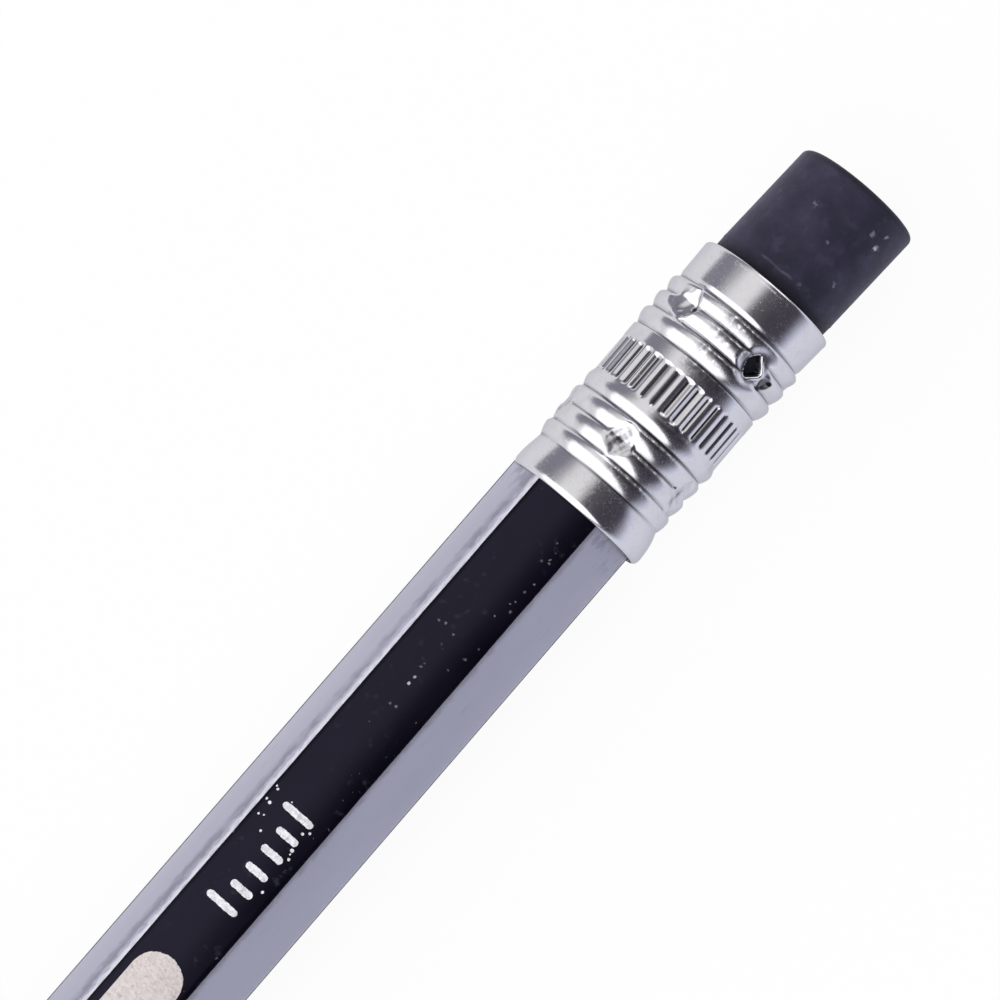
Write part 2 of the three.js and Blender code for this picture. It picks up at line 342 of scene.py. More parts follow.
# How far a place lies from the nearest long edge, in degrees of turn.
from_edge = place.node("Math", {"operation": "PINGPONG"}, {0: turn + 30, 1: 30})
top_left = turn.between(-52, -48) * (1 - turn.between(-16, -12))
# Painted highlight with a little edge wear: the long edge at the top left is painted bright where the
# light catches it, and the other edges only faintly.
edge_wear_and_highlight = (1 - (from_edge + 3 * ragged).between(3.6, 7.4)) * (0.04 + 0.96 * top_left)
inwards = from_edge + 4 * ragged
# Painted shade: a broken dark line on the silver just inside the bright top-left edge.
edge_shade_line = inwards.between(8.5, 11.5) * (1 - inwards.between(13, 24)) * top_left
# Painted shade: a darker band on the silver just beyond the top stripe's right border.
border_shade = turn.between(24, 27) * (1 - (turn + 4 * ragged).between(32, 37))
by_mouth = (place.part("X") - ferrule_low.x / MM).between(-2.2, 0.0)
stain = by_mouth * place.noise(2.2, 4.0, (0.5, 1, 1)).between(0.5, 0.62)
tone = (0.55 * drift + 0.45 * flake).blend((0.30, 0.30, 0.39, 1), (0.39, 0.39, 0.49, 1))
tone = (0.35 * scuff).blend(tone, (0.20, 0.20, 0.26, 1))
tone = (edge_shade_line * (0.3 + 0.35 * broken)).blend(tone, (0.13, 0.125, 0.17, 1))
tone = (0.4 * border_shade).blend(tone, (0.16, 0.15, 0.17, 1))
tone = (0.4 * stain).blend(tone, (0.1, 0.1, 0.14, 1))
show(place, {
    "Base Color": (edge_wear_and_highlight * (0.55 + 0.6 * ragged)).blend(tone, (0.72, 0.71, 0.78, 1)),
    "Metallic": 0.25,
    "Roughness": 0.3 + 0.12 * flake + 0.15 * scuff,
    "Normal": (flake + 2.0 * drift).bump(0.12, 0.02 * MM),
})


def ripple(places, waves, seed):
    """A smooth uneven line between -1 and 1, from a few waves of the given lengths."""
    draw = np.random.default_rng(seed)
    total = np.zeros(np.shape(places))
    for length in waves:
        total = total + np.sin(full_turn * places / length + draw.uniform(0, full_turn))
    return total / len(waves)


chips = chip_depth * (1 + ripple(hexagon_turns, (0.9, 0.31, 0.17, 0.11), 4))
outer_reach = hexagon_reach(hexagon_turns, 0.0)
inner_reach = hexagon_reach(hexagon_turns, coat)
outer_start = cone_place(outer_reach) + chips
inner_start = cone_place(inner_reach) + chips
run_out = np.concatenate([[0, 0.06, 0.2, 0.5, 1.2, 2.6], np.linspace(5, 140, 46)]) * MM
rows = [about_axis(outer_start + distance, outer_reach, hexagon_turns) for distance in run_out]
rows.append(about_axis(lacquer_high.x + mouth_cover, outer_reach, hexagon_turns))
rows.append(about_axis(lacquer_high.x + mouth_cover, inner_reach, hexagon_turns))
rows.append(about_axis(inner_start + lining_edge, inner_reach, hexagon_turns))
rows.append(about_axis(inner_start, inner_reach, hexagon_turns))
base = skin("lacquer_base", np.array(rows), loops=True)
dress(base, silver, "silver_lacquer", "base_lacquer")

# Black stripes: a gloss black lacquer run over every other flat by felt wheels.
# Each wraps round the long edges of its flat, the lower two further up, with a slightly uneven border.

stripe_low, stripe_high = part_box("black_stripe_top")
stripe_length = stripe_high.x - stripe_low.x
stripe_coat = 0.035 * MM
stripe_sink = 0.03 * MM
stripe_chip = 0.1 * MM
narrow_wrap = math.radians(29.5)
right_wrap = math.radians(30.0)
top_left_wrap = math.radians(30.1)
left_wrap = math.radians(33.6)
border_waver = math.radians(0.2)


def grains(place, ragged, soft, spots):
    """A mask of small grains, each with a place in metres, a radius in millimetres and a level."""
    total = 0
    for spot, radius, level in spots:
        sockets = {0: place, 1: (spot / MM).tolist()}
        apart = place.node("VectorMath", {"operation": "DISTANCE"}, sockets, "Value")
        total = total + level * (1 - (apart + ragged).between(radius - soft, radius))
    return total


def stripe_face(width):
    """The turn and the reach of the top stripe's face at a place across the flat."""
    turn = np.arctan2(width, flat_height + stripe_coat)
    return turn, hexagon_reach(turn, 0.0) + stripe_coat


# Millimetres from the ferrule and across the flat, then the radius in millimetres and the level.
dust_spots = []
for distance, width, radius, level in (
    (12.24, -0.05, 0.11, 1.0), (11.81, -0.05, 0.1, 0.7), (11.2, -0.13, 0.1, 0.3),
    (10.95, -0.1, 0.08, 0.2), (13.63, -0.12, 0.09, 0.25), (13.56, 0.2, 0.1, 0.35),
    (9.68, -0.12, 0.08, 0.15), (8.84, -1.0, 0.09, 0.25), (8.73, -0.62, 0.1, 0.3),
    (8.9, 0.04, 0.09, 0.3), (9.5, 1.3, 0.1, 0.2), (8.64, 1.5, 0.09, 0.15), (6.16, 1.46, 0.1, 0.2),
    (5.63, 1.3, 0.08, 0.35), (4.96, 1.36, 0.1, 0.2), (4.34, 1.46, 0.09, 0.3), (3.06, 1.34, 0.09, 0.25),
    (3.19, 0.98, 0.09, 0.15), (2.02, 0.96, 0.09, 0.2),
):
    face_turn, face_reach = stripe_face(width * MM)
    spot = about_axis(ferrule_low.x - distance * MM, face_reach, face_turn)
    dust_spots.append((spot, radius, level))

black = bpy.data.materials.new("black_lacquer")
place = place_in(black)
haze = place.noise(0.9, 4.0, (0.4, 1, 1))
orange_peel = place.noise(2.4, 2.0)
dust = 0.3 * place.noise(4.4, 0.0).between(0.80, 0.85) * place.noise(0.4, 1.0).between(0.54, 0.64)
dust = dust + grains(place, 0.2 * place.noise(9.0, 2.0) - 0.1, 0.07, dust_spots)
smear = place.noise(1.7, 5.0).between(0.58, 0.74) * place.noise(0.3, 1.0).between(0.45, 0.6)
tone = haze.blend((0.001, 0.0008, 0.003, 1), (0.004, 0.0035, 0.0075, 1))
worn = (0.5 * smear).blend(tone, (0.03, 0.03, 0.04, 1))
show(place, {
    "Base Color": dust.blend(worn, (0.5, 0.49, 0.54, 1)),
    "Roughness": 0.1 + 0.08 * haze + 0.15 * smear + 0.3 * dust,
    "Specular IOR Level": 0.3,
    "Specular Tint": (0.66, 0.64, 1.0, 1),
    "Normal": (orange_peel + 1.5 * dust).bump(0.07, 0.02 * MM),
})

flat_share = flat_end / narrow_wrap
across = np.concatenate([
    np.linspace(-1, -flat_share, 9, endpoint=False),
    np.linspace(-flat_share, flat_share, 13, endpoint=False),
    np.linspace(flat_share, 1, 10),
])
# The coat thins at both of its borders.
thickness = stripe_coat * np.minimum(1, (1 - np.abs(across)) * 14 + 0.35)
for side, middle, wraps, seed in (
    ("top", 0.0, (top_left_wrap, narrow_wrap), 11),
    ("left", -full_turn / 3, (narrow_wrap, left_wrap), 12),
    ("right", full_turn / 3, (right_wrap, narrow_wrap), 13),
):
    run = np.linspace(0, 1, 420)
    distances = run * stripe_length / MM
    first_border = wraps[0] + border_waver * ripple(distances, (17, 6.1, 2.3, 0.9), seed)
    last_border = wraps[1] + border_waver * ripple(distances, (13, 5.3, 2.0, 0.7), seed + 20)
    rows = []
    for share, first, last in zip(run, first_border, last_border):
        turn = middle + np.where(across < 0, first, last) * across
        reach = hexagon_reach(turn, 0.0)
        start = cone_place(reach + thickness)
        start = start + stripe_chip * (1 + ripple(turn, (0.5, 0.23, 0.12), seed + 40))
        places = start + share * (stripe_high.x + mouth_cover - start)
        top = about_axis(places, reach + thickness, turn)
        under = about_axis(places, reach - stripe_sink, turn)
        rows.append(np.concatenate([top, under[::-1]]))
    stripe = skin(f"lacquer_stripe_{side}", np.array(rows), capped=True)
    dress(stripe, black, "black_lacquer", f"black_stripe_{side}")

# Foil marks: silver foil, hot-stamped on the black flat.
# A worn die leaves their edges ragged and stray specks beside them.
# They are plain: a set of ruler-like strokes, and a long pill further down.

foil_lift = 0.012 * MM


def foil_finish(name, dull, bright):
    """Thin crinkled foil, worn through in places."""
    foil = bpy.data.materials.new(name)
    place = place_in(foil)
    crinkle = place.noise(5.5, 3.0).between(0.3, 0.7)
    worn_through = place.noise(3.4, 4.0).between(0.56, 0.72)
    tone = crinkle.blend(dull, bright)
    show(place, {
        "Base Color": (0.45 * worn_through).blend(tone, (0.30, 0.27, 0.29, 1)),
        "Metallic": 0.4,
        "Roughness": 0.42 + 0.25 * crinkle,
        "Normal": crinkle.bump(0.4, 0.03 * MM),
    })
    return foil


def foil_patch(near_ends, far_ends, widths):
    """Rings of a thin patch of foil on the black flat, one for each place across it."""
    turn, reach = stripe_face(widths)
    corners = [
        about_axis(near_ends, reach + foil_lift, turn),
        about_axis(far_ends, reach + foil_lift, turn),
        about_axis(far_ends, reach - foil_lift, turn),
        about_axis(near_ends, reach - foil_lift, turn),
    ]
    return np.stack(corners, axis=1)[::-1]


def join(name, patches):
    """One piece from several patches."""
    pieces = [skin(f"{name}_{number}", patch, capped=True) for number, patch in enumerate(patches)]
    vertices, faces = [], []
    for piece in pieces:
        offset = len(vertices)
        vertices.extend(tuple(vertex.co) for vertex in piece.data.vertices)
        for polygon in piece.data.polygons:
            faces.append([offset + corner for corner in polygon.vertices])
        bpy.data.objects.remove(piece)
    mesh = bpy.data.meshes.new(name)
    mesh.from_pydata(vertices, [], faces)
    made = bpy.data.objects.new(name, mesh)
    bpy.context.scene.collection.objects.link(made)
    return made


first_stroke = 20.9 * MM
stroke_pitch = 1.16 * MM
stroke_half_width = 0.2 * MM
long_half, short_half = 0.95 * MM, 0.66 * MM
stroke_foot = 1.03 * MM
ragged_share = 0.13
patches = []
for number in range(6):
    middle = ferrule_low.x - first_stroke - number * stroke_pitch
    half = long_half if number % 5 == 0 else short_half
    widths = np.linspace(-half, half, 26)
    rounding = np.sqrt(np.maximum(1 - (np.abs(widths) / half) ** 10, 0.05))
    near_edge = ripple(widths / MM, (0.9, 0.35, 0.16), 60 + number)
    far_edge = ripple(widths / MM, (0.8, 0.31, 0.14), 80 + number)
    near = stroke_half_width * rounding * (1 + ragged_share * near_edge)
    far = stroke_half_width * rounding * (1 + ragged_share * far_edge)
    patches.append(foil_patch(middle - near, middle + far, stroke_foot - half + widths))

# Stray specks: millimetres from the ferrule and across the flat, and the radius in millimetres.
steps = np.linspace(-1, 1, 9)
for distance, width, size in (
    (21.34, -1.44, 0.09), (21.28, -1.71, 0.07), (20.47, -1.74, 0.06), (20.57, -1.58, 0.07),
    (22.12, -1.51, 0.06), (22.0, -1.24, 0.05), (22.7, -0.83, 0.07), (24.96, 1.25, 0.08),
    (22.87, 1.17, 0.08), (22.63, 1.05, 0.05), (22.42, 1.0, 0.1), (21.45, 0.85, 0.08),
    (21.2, 1.12, 0.07), (20.6, -0.57, 0.04),
):
    middle = ferrule_low.x - distance * MM
    half = size * MM * np.sqrt(np.maximum(1 - steps**2, 0.02))
    half = half * (1 + 0.2 * ripple(steps, (1.3, 0.7), round(100 * distance)))
    patches.append(foil_patch(middle - half, middle + half, (width + size * steps) * MM))
strokes = join("foil_strokes", patches)
stroke_foil = foil_finish("stroke_foil", (0.68, 0.66, 0.71, 1), (0.96, 0.95, 0.99, 1))
dress(strokes, stroke_foil, "ferrule_metal")

pill_near = ferrule_low.x - 30.4 * MM
pill_length = 9.6 * MM
pill_half = 1.45 * MM
pill_offset = 0.04 * MM
blunt_end = 0.12 * MM
ragged_edge = 0.04 * MM
pill_middle = pill_near - pill_length / 2
widths = np.linspace(-pill_half, pill_half, 44)
bulge = np.sqrt(np.maximum(pill_half**2 - widths**2, blunt_end**2))
far_end = pill_middle - pill_length / 2 + pill_half - bulge
near_end = pill_middle + pill_length / 2 - pill_half + bulge
far_end = far_end + ragged_edge * ripple(widths / MM, (1.0, 0.39, 0.17), 92)
near_end = near_end + ragged_edge * ripple(widths / MM, (1.1, 0.43, 0.19), 91)
pill = join("foil_pill", [foil_patch(far_end, near_end, pill_offset + widths)])
pill_foil = foil_finish("pill_foil", (0.60, 0.545, 0.53, 1), (0.76, 0.70, 0.68, 1))
dress(pill, pill_foil, "ferrule_metal")

# Ferrule: a thin drawn aluminium tube, rolled into beads and a fluted band.
# It is pressed over the tenon and the eraser, and punches prick it into the wood and the rubber.
# The work is quick, so its beads, ribs and pricks are uneven.

ferrule_length = ferrule_high.x - ferrule_low.x
wall = 0.2 * MM
valley = 3.9 * MM
mouth = (ferrule_high.z - ferrule_low.z) / 2
mouth_lip = 0.3 * MM
mouth_reach = 0.09 * MM
mouth_roll = 0.24 * MM
rim_reach = 4.07 * MM
rim_lip = 0.22 * MM
rim_roll = 0.14 * MM
rim_step = 0.07 * MM
rim_rise = 0.35 * MM
lower_valleys = np.array([1.9, 2.95, 4.08, 5.24, 6.35]) * MM
upper_valleys = np.array([8.68, 9.54, 10.68, 11.76, 12.75]) * MM
lower_crests = (0.7, 0.7, 0.7, 0.6)
upper_crests = (0.7, 0.7, 0.7, 0.7)
lower_heights = np.array([0.19, 0.2, 0.24, 0.23]) * MM
# The first space of the upper row is the plain land, which has no bead.
upper_heights = np.array([0.0, 0.29, 0.29, 0.27]) * MM
bead_waver = 0.1
land_height = 0.14 * MM
land_edge = 0.16 * MM
band_start, band_end, land_end = lower_valleys[-1], upper_valleys[0], upper_valleys[1]
band_level = 4.03 * MM
band_edge = 0.1 * MM
rib_end = 0.22 * MM
flute_count = 36
flute_depth = 0.15 * MM
flute_phase = math.radians(2.7)
points_per_flute = 16
# Turns in degrees at which the ribs begin to flatten, are flat, begin to round again and are round.
flat_zones = ((-22, -15, -1, 8), (22, 32, 90, 120))
crease_width = 0.08 * MM
sway_places = np.array([0, 1.4, 2.6, 4.6, 5.8, 9.6, 11.2, 15.1]) * MM
sways = np.array([-0.02, -0.03, -0.12, -0.1, -0.04, -0.07, 0.0, 0.09]) * MM
prick_count = 5
prick_pitch = full_turn / prick_count


def step(value, low, high):
    """0 below low, 1 above high and smooth between."""
    share = np.clip((value - low) / (high - low), 0, 1)
    return share * share * (3 - 2 * share)


def flute_hollow(turn):
    """The row of grooves round the band, from 0 on a rib to 1 at a root."""
    return 0.5 - 0.5 * np.cos(flute_count * (turn - flute_phase))


def ferrule_crease_shade_and_dirt(along, turn):
    """Dirt and painted shade in the creases between the beads and at the roots of the flutes."""
    dirt_and_shade = 0 * (along + turn)
    thick = 0.5 + 0.5 * np.cos(3 * (turn - math.radians(16)))
    for crease in (*lower_valleys[:-1], *upper_valleys[1:]):
        dirt_and_shade = dirt_and_shade + (0.1 + 0.9 * thick) * np.exp(-(((along - crease) / crease_width) ** 2))
    in_band = step(along, band_start, band_start + 0.15 * MM)
    in_band = in_band * (1 - step(along, band_end - rib_end, band_end - band_edge))
    return dirt_and_shade + 0.95 * in_band * step(flute_hollow(turn), 0.86, 0.98)


def ferrule_grit_patches_and_shade(along, turn):
    """Gritty dark patches on the beads, just before the creases: partly grit, partly painted shade that
    ends the beads' highlights early.
    """
    grit_and_shade = 0 * (along + turn)
    for creases, middle, width in ((lower_valleys[1:], 22, 0.7), (upper_valleys[1:], 13, 0.95)):
        patch = step(np.cos(3 * (turn - math.radians(middle))), 0.3, 0.9)
        for crease in creases:
            before = step(along, crease - width * MM, crease - 0.3 * MM)
            beyond = step(along, crease - 0.05 * MM, crease + 0.05 * MM)
            grit_and_shade = grit_and_shade + patch * before * (1 - beyond)
    return grit_and_shade


def ferrule_reach(along, turn):
    """How far the outside of the tube reaches from the axis."""
    reach = valley + 0 * (along + turn)
    taper = np.clip((along - mouth_lip) / (lower_valleys[0] - mouth_lip), 0, 1)
    reach = reach + (mouth - valley) * (1 - taper**2)
    rim_start = upper_valleys[-1]
    reach = reach + rim_step * step(along, rim_start, rim_start + rim_rise)
    flare = rim_reach - valley - rim_step
    reach = reach + flare * np.clip((along - rim_start) / (ferrule_length - rim_start), 0, 1)
    seed = 100
    for valleys, heights, crests in (
        (lower_valleys, lower_heights, lower_crests),
        (upper_valleys, upper_heights, upper_crests),
    ):
        for start, end, height, crest in zip(valleys[:-1], valleys[1:], heights, crests):
            seed += 1
            top = start + crest * (end - start)
            rise = 1 - np.clip((along - top) / (top - start), -1, 0) ** 2
            fall = 1 - np.clip((along - top) / (end - top), 0, 1) ** 2
            if end == band_start:
                fall = 1 - step(along, top, end)
                in_band = 1 - fall
            waver = ripple(turn, (full_turn, full_turn / 2, full_turn / 3), seed)
            reach = reach + height * rise * fall * (1 + bead_waver * waver)
    past_band = step(along, band_end - band_edge, band_end)
    reach = reach + (band_level - valley) * in_band * (1 - past_band)
    reach = reach + land_height * past_band * (1 - step(along, land_end - land_edge, land_end))
    ends = step(along, band_start - band_edge, band_start + 0.2 * MM)
    ends = ends * (1 - step(along, band_end - rib_end, band_end + 0.02 * MM))
    uneven = 1 + 0.2 * ripple(turn, (full_turn / 7, full_turn / 17, full_turn / 27), 77)
    hollow = flute_hollow(turn)
    degrees = (np.degrees(turn) + 180) % 360 - 180
    flatter = 0
    for flatten, flat, rounding, rounded in flat_zones:
        flatter = flatter + step(degrees, flatten, flat) * (1 - step(degrees, rounding, rounded))
    flat_ribs = 0.3 * hollow + 0.45 * hollow**8
    depth = hollow + flatter * (flat_ribs - hollow)
    return reach - flute_depth * depth * ends * uneven


def punch_share(along, turn, middle, offset, sides):
    """0 in the middle of a many-sided punch mark and 1 at its edge, and the way from its middle."""
    ahead = along - middle
    across = (np.mod(turn - offset + math.pi, full_turn) - math.pi) * valley
    total = 0
    for angle, distance in sides:
        angle = math.radians(angle)
        towards = (ahead * math.cos(angle) + across * math.sin(angle)) / (distance * MM)
        total = total + np.maximum(towards, 0) ** 6
    return total ** (1 / 6), ahead, across


def oval_share(ahead, across, middle, size):
    """0 in the middle of a small oval mark and 1 at its edge, for a middle and a size in millimetres."""
    return np.hypot((ahead / MM - middle[0]) / size[0], (across / MM - middle[1]) / size[1])


def crumple(ahead, across):
    """Small folds in pressed metal, between -1 and 1."""
    along_folds = ripple((ahead + 0.4 * across) / MM, (1.3, 0.8, 0.47), 35)
    across_folds = ripple((across - 0.3 * ahead) / MM, (1.1, 0.7, 0.45), 36)
    return (along_folds + across_folds) / 2


pressed_level = valley + 0.14 * MM
pressed_share = 0.9
fold_height = 0.035 * MM
dish_depth, burr_height = 0.17 * MM, 0.05 * MM
hole_depth, tear_depth = 0.55 * MM, 0.16 * MM


def prick(reach, share, ahead, across, depth):
    """Pushes a many-sided, crumpled dent into the tube, which flattens the beads round it."""
    reach = reach + pressed_share * (1 - step(share, 0.9, 1.35)) * (pressed_level - reach)
    folds = fold_height * crumple(ahead, across) * (1 - step(share, 0.75, 1.1))
    return reach + folds - depth * (1 - step(share, 0.1, 1.05))


def pierce(reach, share, ahead, across, tear):
    """Punches a hole with a dished edge and leaves a burr and a torn notch on its lower side."""
    distance = np.hypot(ahead, across)
    pressed = 1 - step(distance, 0.8 * MM, 1.3 * MM)
    reach = reach + pressed_share * pressed * (pressed_level - reach)
    upper_side = 1 - step(across, -0.9 * MM, 1.1 * MM)
    reach = reach - dish_depth * (1 - step(distance, 0.55 * MM, 1.1 * MM)) * upper_side
    reach = reach - hole_depth * (1 - step(share, 0.85, 1.0))
    burr = np.exp(-(((share - 1.14) / 0.1) ** 2)) * step(across, 0.05 * MM, 0.35 * MM)
    reach = reach + burr_height * burr
    return reach - tear_depth * (1 - step(tear, 0.2, 1.0))


columns = flute_count * points_per_flute
ferrule_turns = np.linspace(0, full_turn, columns, endpoint=False)
collar_step = 0.09 * MM
fine_step = 0.043 * MM
outside = np.concatenate([
    np.arange(mouth_lip, lower_valleys[0], collar_step),
    np.arange(lower_valleys[0], upper_valleys[-1] + 0.4 * MM, fine_step),
    np.arange(upper_valleys[-1] + 0.4 * MM, ferrule_length - rim_lip, collar_step),
])[:, None]
reach = ferrule_reach(outside, ferrule_turns)
# The sides of each kind of punch mark: the way they face in degrees and how far off in millimetres.
dimple = ((50, 0.7), (90, 0.88), (130, 0.7), (-130, 0.68), (-90, 0.85), (-50, 0.7))
kite = ((-160, 0.95), (-100, 1.35), (-25, 1.0), (60, 0.34), (120, 0.36))
hole = ((-134, 0.56), (-106, 0.5), (-49, 0.57), (48, 0.42), (136, 0.53))
lower_ring, upper_ring = 3.97 * MM, 11.3 * MM
kite_ring = upper_ring + 0.3 * MM
dimple_depth, dimple_pit_depth = 0.14 * MM, 0.05 * MM
kite_depth, kite_pit_depth = 0.36 * MM, 0.1 * MM
dimple_turn = math.radians(-2)
hole_turn = math.radians(37)
kite_shift = math.radians(6)
clear, punch_shade_and_dirt = 1, 0
# Painted shade with some dirt in the punch marks: the pits, the hole's inside and its torn notch are
# painted dark, and the dents a mottled grey that is strongest on the first dimple.
for number in range(prick_count):
    spot = dimple_turn + number * prick_pitch
    share, ahead, across = punch_share(outside, ferrule_turns, lower_ring, spot, dimple)
    reach = prick(reach, share, ahead, across, dimple_depth)
    pit = oval_share(ahead, across, (0.08, -0.02), (0.3, 0.24))
    reach = reach - dimple_pit_depth * (1 - step(pit, 0.2, 1.0))
    clear = clear * step(share, 0.95, 1.35)
    punch_shade_and_dirt = punch_shade_and_dirt + 0.5 * (1 - step(pit, 0.1, 1.1))
    side_pit = oval_share(ahead, across, (-0.45, -0.36), (0.36, 0.3))
    punch_shade_and_dirt = punch_shade_and_dirt + 0.35 * (1 - step(side_pit, 0.2, 1.0))
    grey_mottle = step(crumple(1.6 * ahead, 1.6 * across), -0.25, 0.45)
    greying = 1.0 if number == 0 else 0.3
    punch_shade_and_dirt = punch_shade_and_dirt + greying * (0.1 + 0.4 * grey_mottle) * (1 - step(share, 0.7, 1.0))
    spot = hole_turn + number * prick_pitch
    if number == 0:
        share, ahead, across = punch_share(outside, ferrule_turns, upper_ring, spot, hole)
        tear = oval_share(ahead, across, (-0.28, 1.16), (0.4, 0.42))
        reach = pierce(reach, share, ahead, across, tear)
        punch_shade_and_dirt = punch_shade_and_dirt + 1 - step(share, 0.92, 1.0) + 0.78 * (1 - step(tear, 0.7, 1.15))
        nick = oval_share(ahead, across, (-0.06, 1.4), (0.12, 0.17))
        punch_shade_and_dirt = punch_shade_and_dirt + 1 - step(nick, 0.6, 1.2)
    else:
        spot = spot + kite_shift
        share, ahead, across = punch_share(outside, ferrule_turns, kite_ring, spot, kite)
        reach = prick(reach, share, ahead, across, kite_depth)
        pit = oval_share(ahead, across, (0, 0), (0.26, 0.2))
        reach = reach - kite_pit_depth * (1 - step(pit, 0.3, 1.0))
        punch_shade_and_dirt = punch_shade_and_dirt + 1 - step(pit, 0.4, 1.2)
        grey_mottle = step(crumple(1.3 * ahead, 1.3 * across), -0.3, 0.4)
        shaded_side = (1 - step(ahead, -0.5 * MM, 0.0)) * (1 - step(share, 0.75, 0.95))
        punch_shade_and_dirt = punch_shade_and_dirt + (0.12 + 0.4 * grey_mottle) * shaded_side
    clear = clear * step(share, 1.0, 1.5)
dents = ripple(outside / MM * 0.7 + 2.2 * np.sin(ferrule_turns), (5.1, 3.3, 2.1), 33)
dents = dents * ripple(ferrule_turns, (full_turn / 3, full_turn / 6, full_turn / 11), 34)
dent_height = 0.014 * MM
reach = reach + dent_height * dents


def ferrule_ring(along, radius, offset):
    """Rings of points round the tube, at places along it and set off from the pencil's axis."""
    return about_axis(ferrule_low.x + along, radius, ferrule_turns, offset)


quarter_round = [(1 - math.cos(turn), math.sin(turn)) for turn in np.linspace(0, math.pi / 2, 9)]
rows = []
for ahead, out in quarter_round[:-1]:
    along = mouth_lip * ahead - mouth_reach * (1 - ahead)
    rows.append(ferrule_ring(along, mouth - mouth_roll * (1 - out), tenon_offset + sways[0]))
outer_rows = slice(len(rows), len(rows) + len(outside))
outer_offset = tenon_offset + np.interp(outside, sway_places, sways)
rows.extend(ferrule_ring(outside, reach, outer_offset))
for ahead, out in quarter_round[::-1]:
    along = ferrule_length - rim_lip * ahead
    rows.append(ferrule_ring(along, rim_reach - rim_roll * (1 - out), tenon_offset + sways[-1]))
# The inside runs back from the rim to the mouth.
rim_inset, mouth_inset = 0.12 * MM, 0.06 * MM
bore = mouth - mouth_roll
rows.append(ferrule_ring(ferrule_length - rim_inset, rim_reach - wall, tenon_offset))
for along, radius in zip(outside[::-3, 0], reach[::-3]):
    rows.append(ferrule_ring(along, np.minimum(radius - wall, bore - 0.06 * MM), tenon_offset))
rows.append(ferrule_ring(mouth_inset, bore - 0.03 * MM, tenon_offset))
ferrule = skin("crimped_ferrule", np.array(rows), loops=True, crease=60)
# The darkness stored on the mesh: dirt with painted shade in the creases and flute roots, and painted
# shade in the punch marks.
dirt_and_shade = np.zeros((len(rows), columns))
dirt_and_shade[outer_rows] = np.clip(ferrule_crease_shade_and_dirt(outside, ferrule_turns) * clear + punch_shade_and_dirt, 0, 1)
grit_and_shade = np.zeros((len(rows), columns))
grit_and_shade[outer_rows] = ferrule_grit_patches_and_shade(outside, ferrule_turns) * clear
for name, values in (("dirt_and_shade", dirt_and_shade), ("grit_and_shade", grit_and_shade)):
    ferrule.data.attributes.new(name, "FLOAT", "POINT").data.foreach_set("value", values.ravel())

bright = bpy.data.materials.new("ferrule_aluminium")
place = place_in(bright)
rolled = place.noise(3.0, 3.0, (6, 1, 1))
tarnish = place.noise(1.1, 5.0)
grit = place.noise(6.0, 3.0)
pitting = place.noise(9.0, 2.0).between(0.64, 0.72)
dirt_and_shade = place.node("Attribute", {"attribute_name": "dirt_and_shade"}, output="Fac")
grit_and_shade = place.node("Attribute", {"attribute_name": "grit_and_shade"}, output="Fac")
grit_and_shade = grit_and_shade * place.noise(3.6, 5.0).between(0.32, 0.56)
handled = place.noise(7.0, 4.0).between(0.5, 0.66) * place.noise(0.7, 2.0).between(0.45, 0.6)
metal = (0.35 * tarnish.between(0.5, 0.75)).blend((0.67, 0.665, 0.7, 1), (0.52, 0.5, 0.51, 1))
metal = (0.3 * pitting).blend(metal, (0.42, 0.40, 0.41, 1))
# Patches painted dark on the beads before the creases: partly grit, partly painted shade.
metal = (0.85 * grit_and_shade).blend(metal, (0.1, 0.09, 0.095, 1))
matt_marks = 0.1 * pitting + 0.12 * handled + 0.2 * dirt_and_shade + 0.15 * grit_and_shade
show(place, {
    # Creases, flute roots and punch marks are painted dark: dirt with painted shade.
    "Base Color": dirt_and_shade.blend(metal, (0.015, 0.013, 0.016, 1)),
    "Metallic": 1.0,
    "Specular Tint": (0.72, 0.72, 0.76, 1),
    "Roughness": 0.1 + 0.1 * tarnish + 0.05 * rolled + matt_marks,
    "Normal": (0.5 * rolled + tarnish + 0.5 * grit - 0.5 * pitting).bump(0.16, 0.02 * MM),
})
dress(ferrule, bright, "ferrule_metal", "ferrule")

# Eraser: a plug of dark, filled rubber, cut from a rod and squeezed into the ferrule, where it leans.
# Its cut end has a soft edge, and dust and crumbs cling to it.

eraser_low, eraser_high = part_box("eraser_plug")
eraser_radius = (eraser_high.y - eraser_low.y) / 2
eraser_edge = 0.34 * MM
eraser_lean = math.tan(math.radians(2.4))
eraser_offset = tenon_offset + 0.07 * MM
rim = ferrule_high.x


def rubber_offset(along):
    """How far the plug's middle lies off the pencil's axis."""
    return eraser_offset + eraser_lean * max(along - rim, 0)


rubber = bpy.data.materials.new("eraser_rubber")
place = place_in(rubber)
from_rim = place.part("X") - rim / MM
cloud = place.noise(0.6, 5.0).between(0.3, 0.72)
filler = place.noise(9.0, 3.0)
smear = place.noise(1.3, 4.0).between(0.52, 0.68)
grit = place.noise(4.5, 2.0)
# Millimetres from the rim, the turn in degrees, the radius in millimetres and the level.
crumbs = []
for distance, turn, radius, level in (
    (4.98, 51, 0.22, 0.9), (5.79, 51, 0.19, 0.45), (5.33, 38, 0.19, 0.3), (2.16, 44, 0.17, 0.3),
    (3.46, 15, 0.15, 0.2), (4.58, -15, 0.19, 0.25), (0.89, 21, 0.17, 0.15),
    (4.47, 135, 0.19, 0.6), (2.7, -120, 0.22, 0.4),
):
    along = rim + distance * MM
    spot = about_axis(along, eraser_radius, math.radians(turn), rubber_offset(along))
    crumbs.append((spot, radius, level))
crumb = grains(place, 0.6 * grit - 0.3, 0.18, crumbs)
patchy = place.noise(0.7, 2.0)
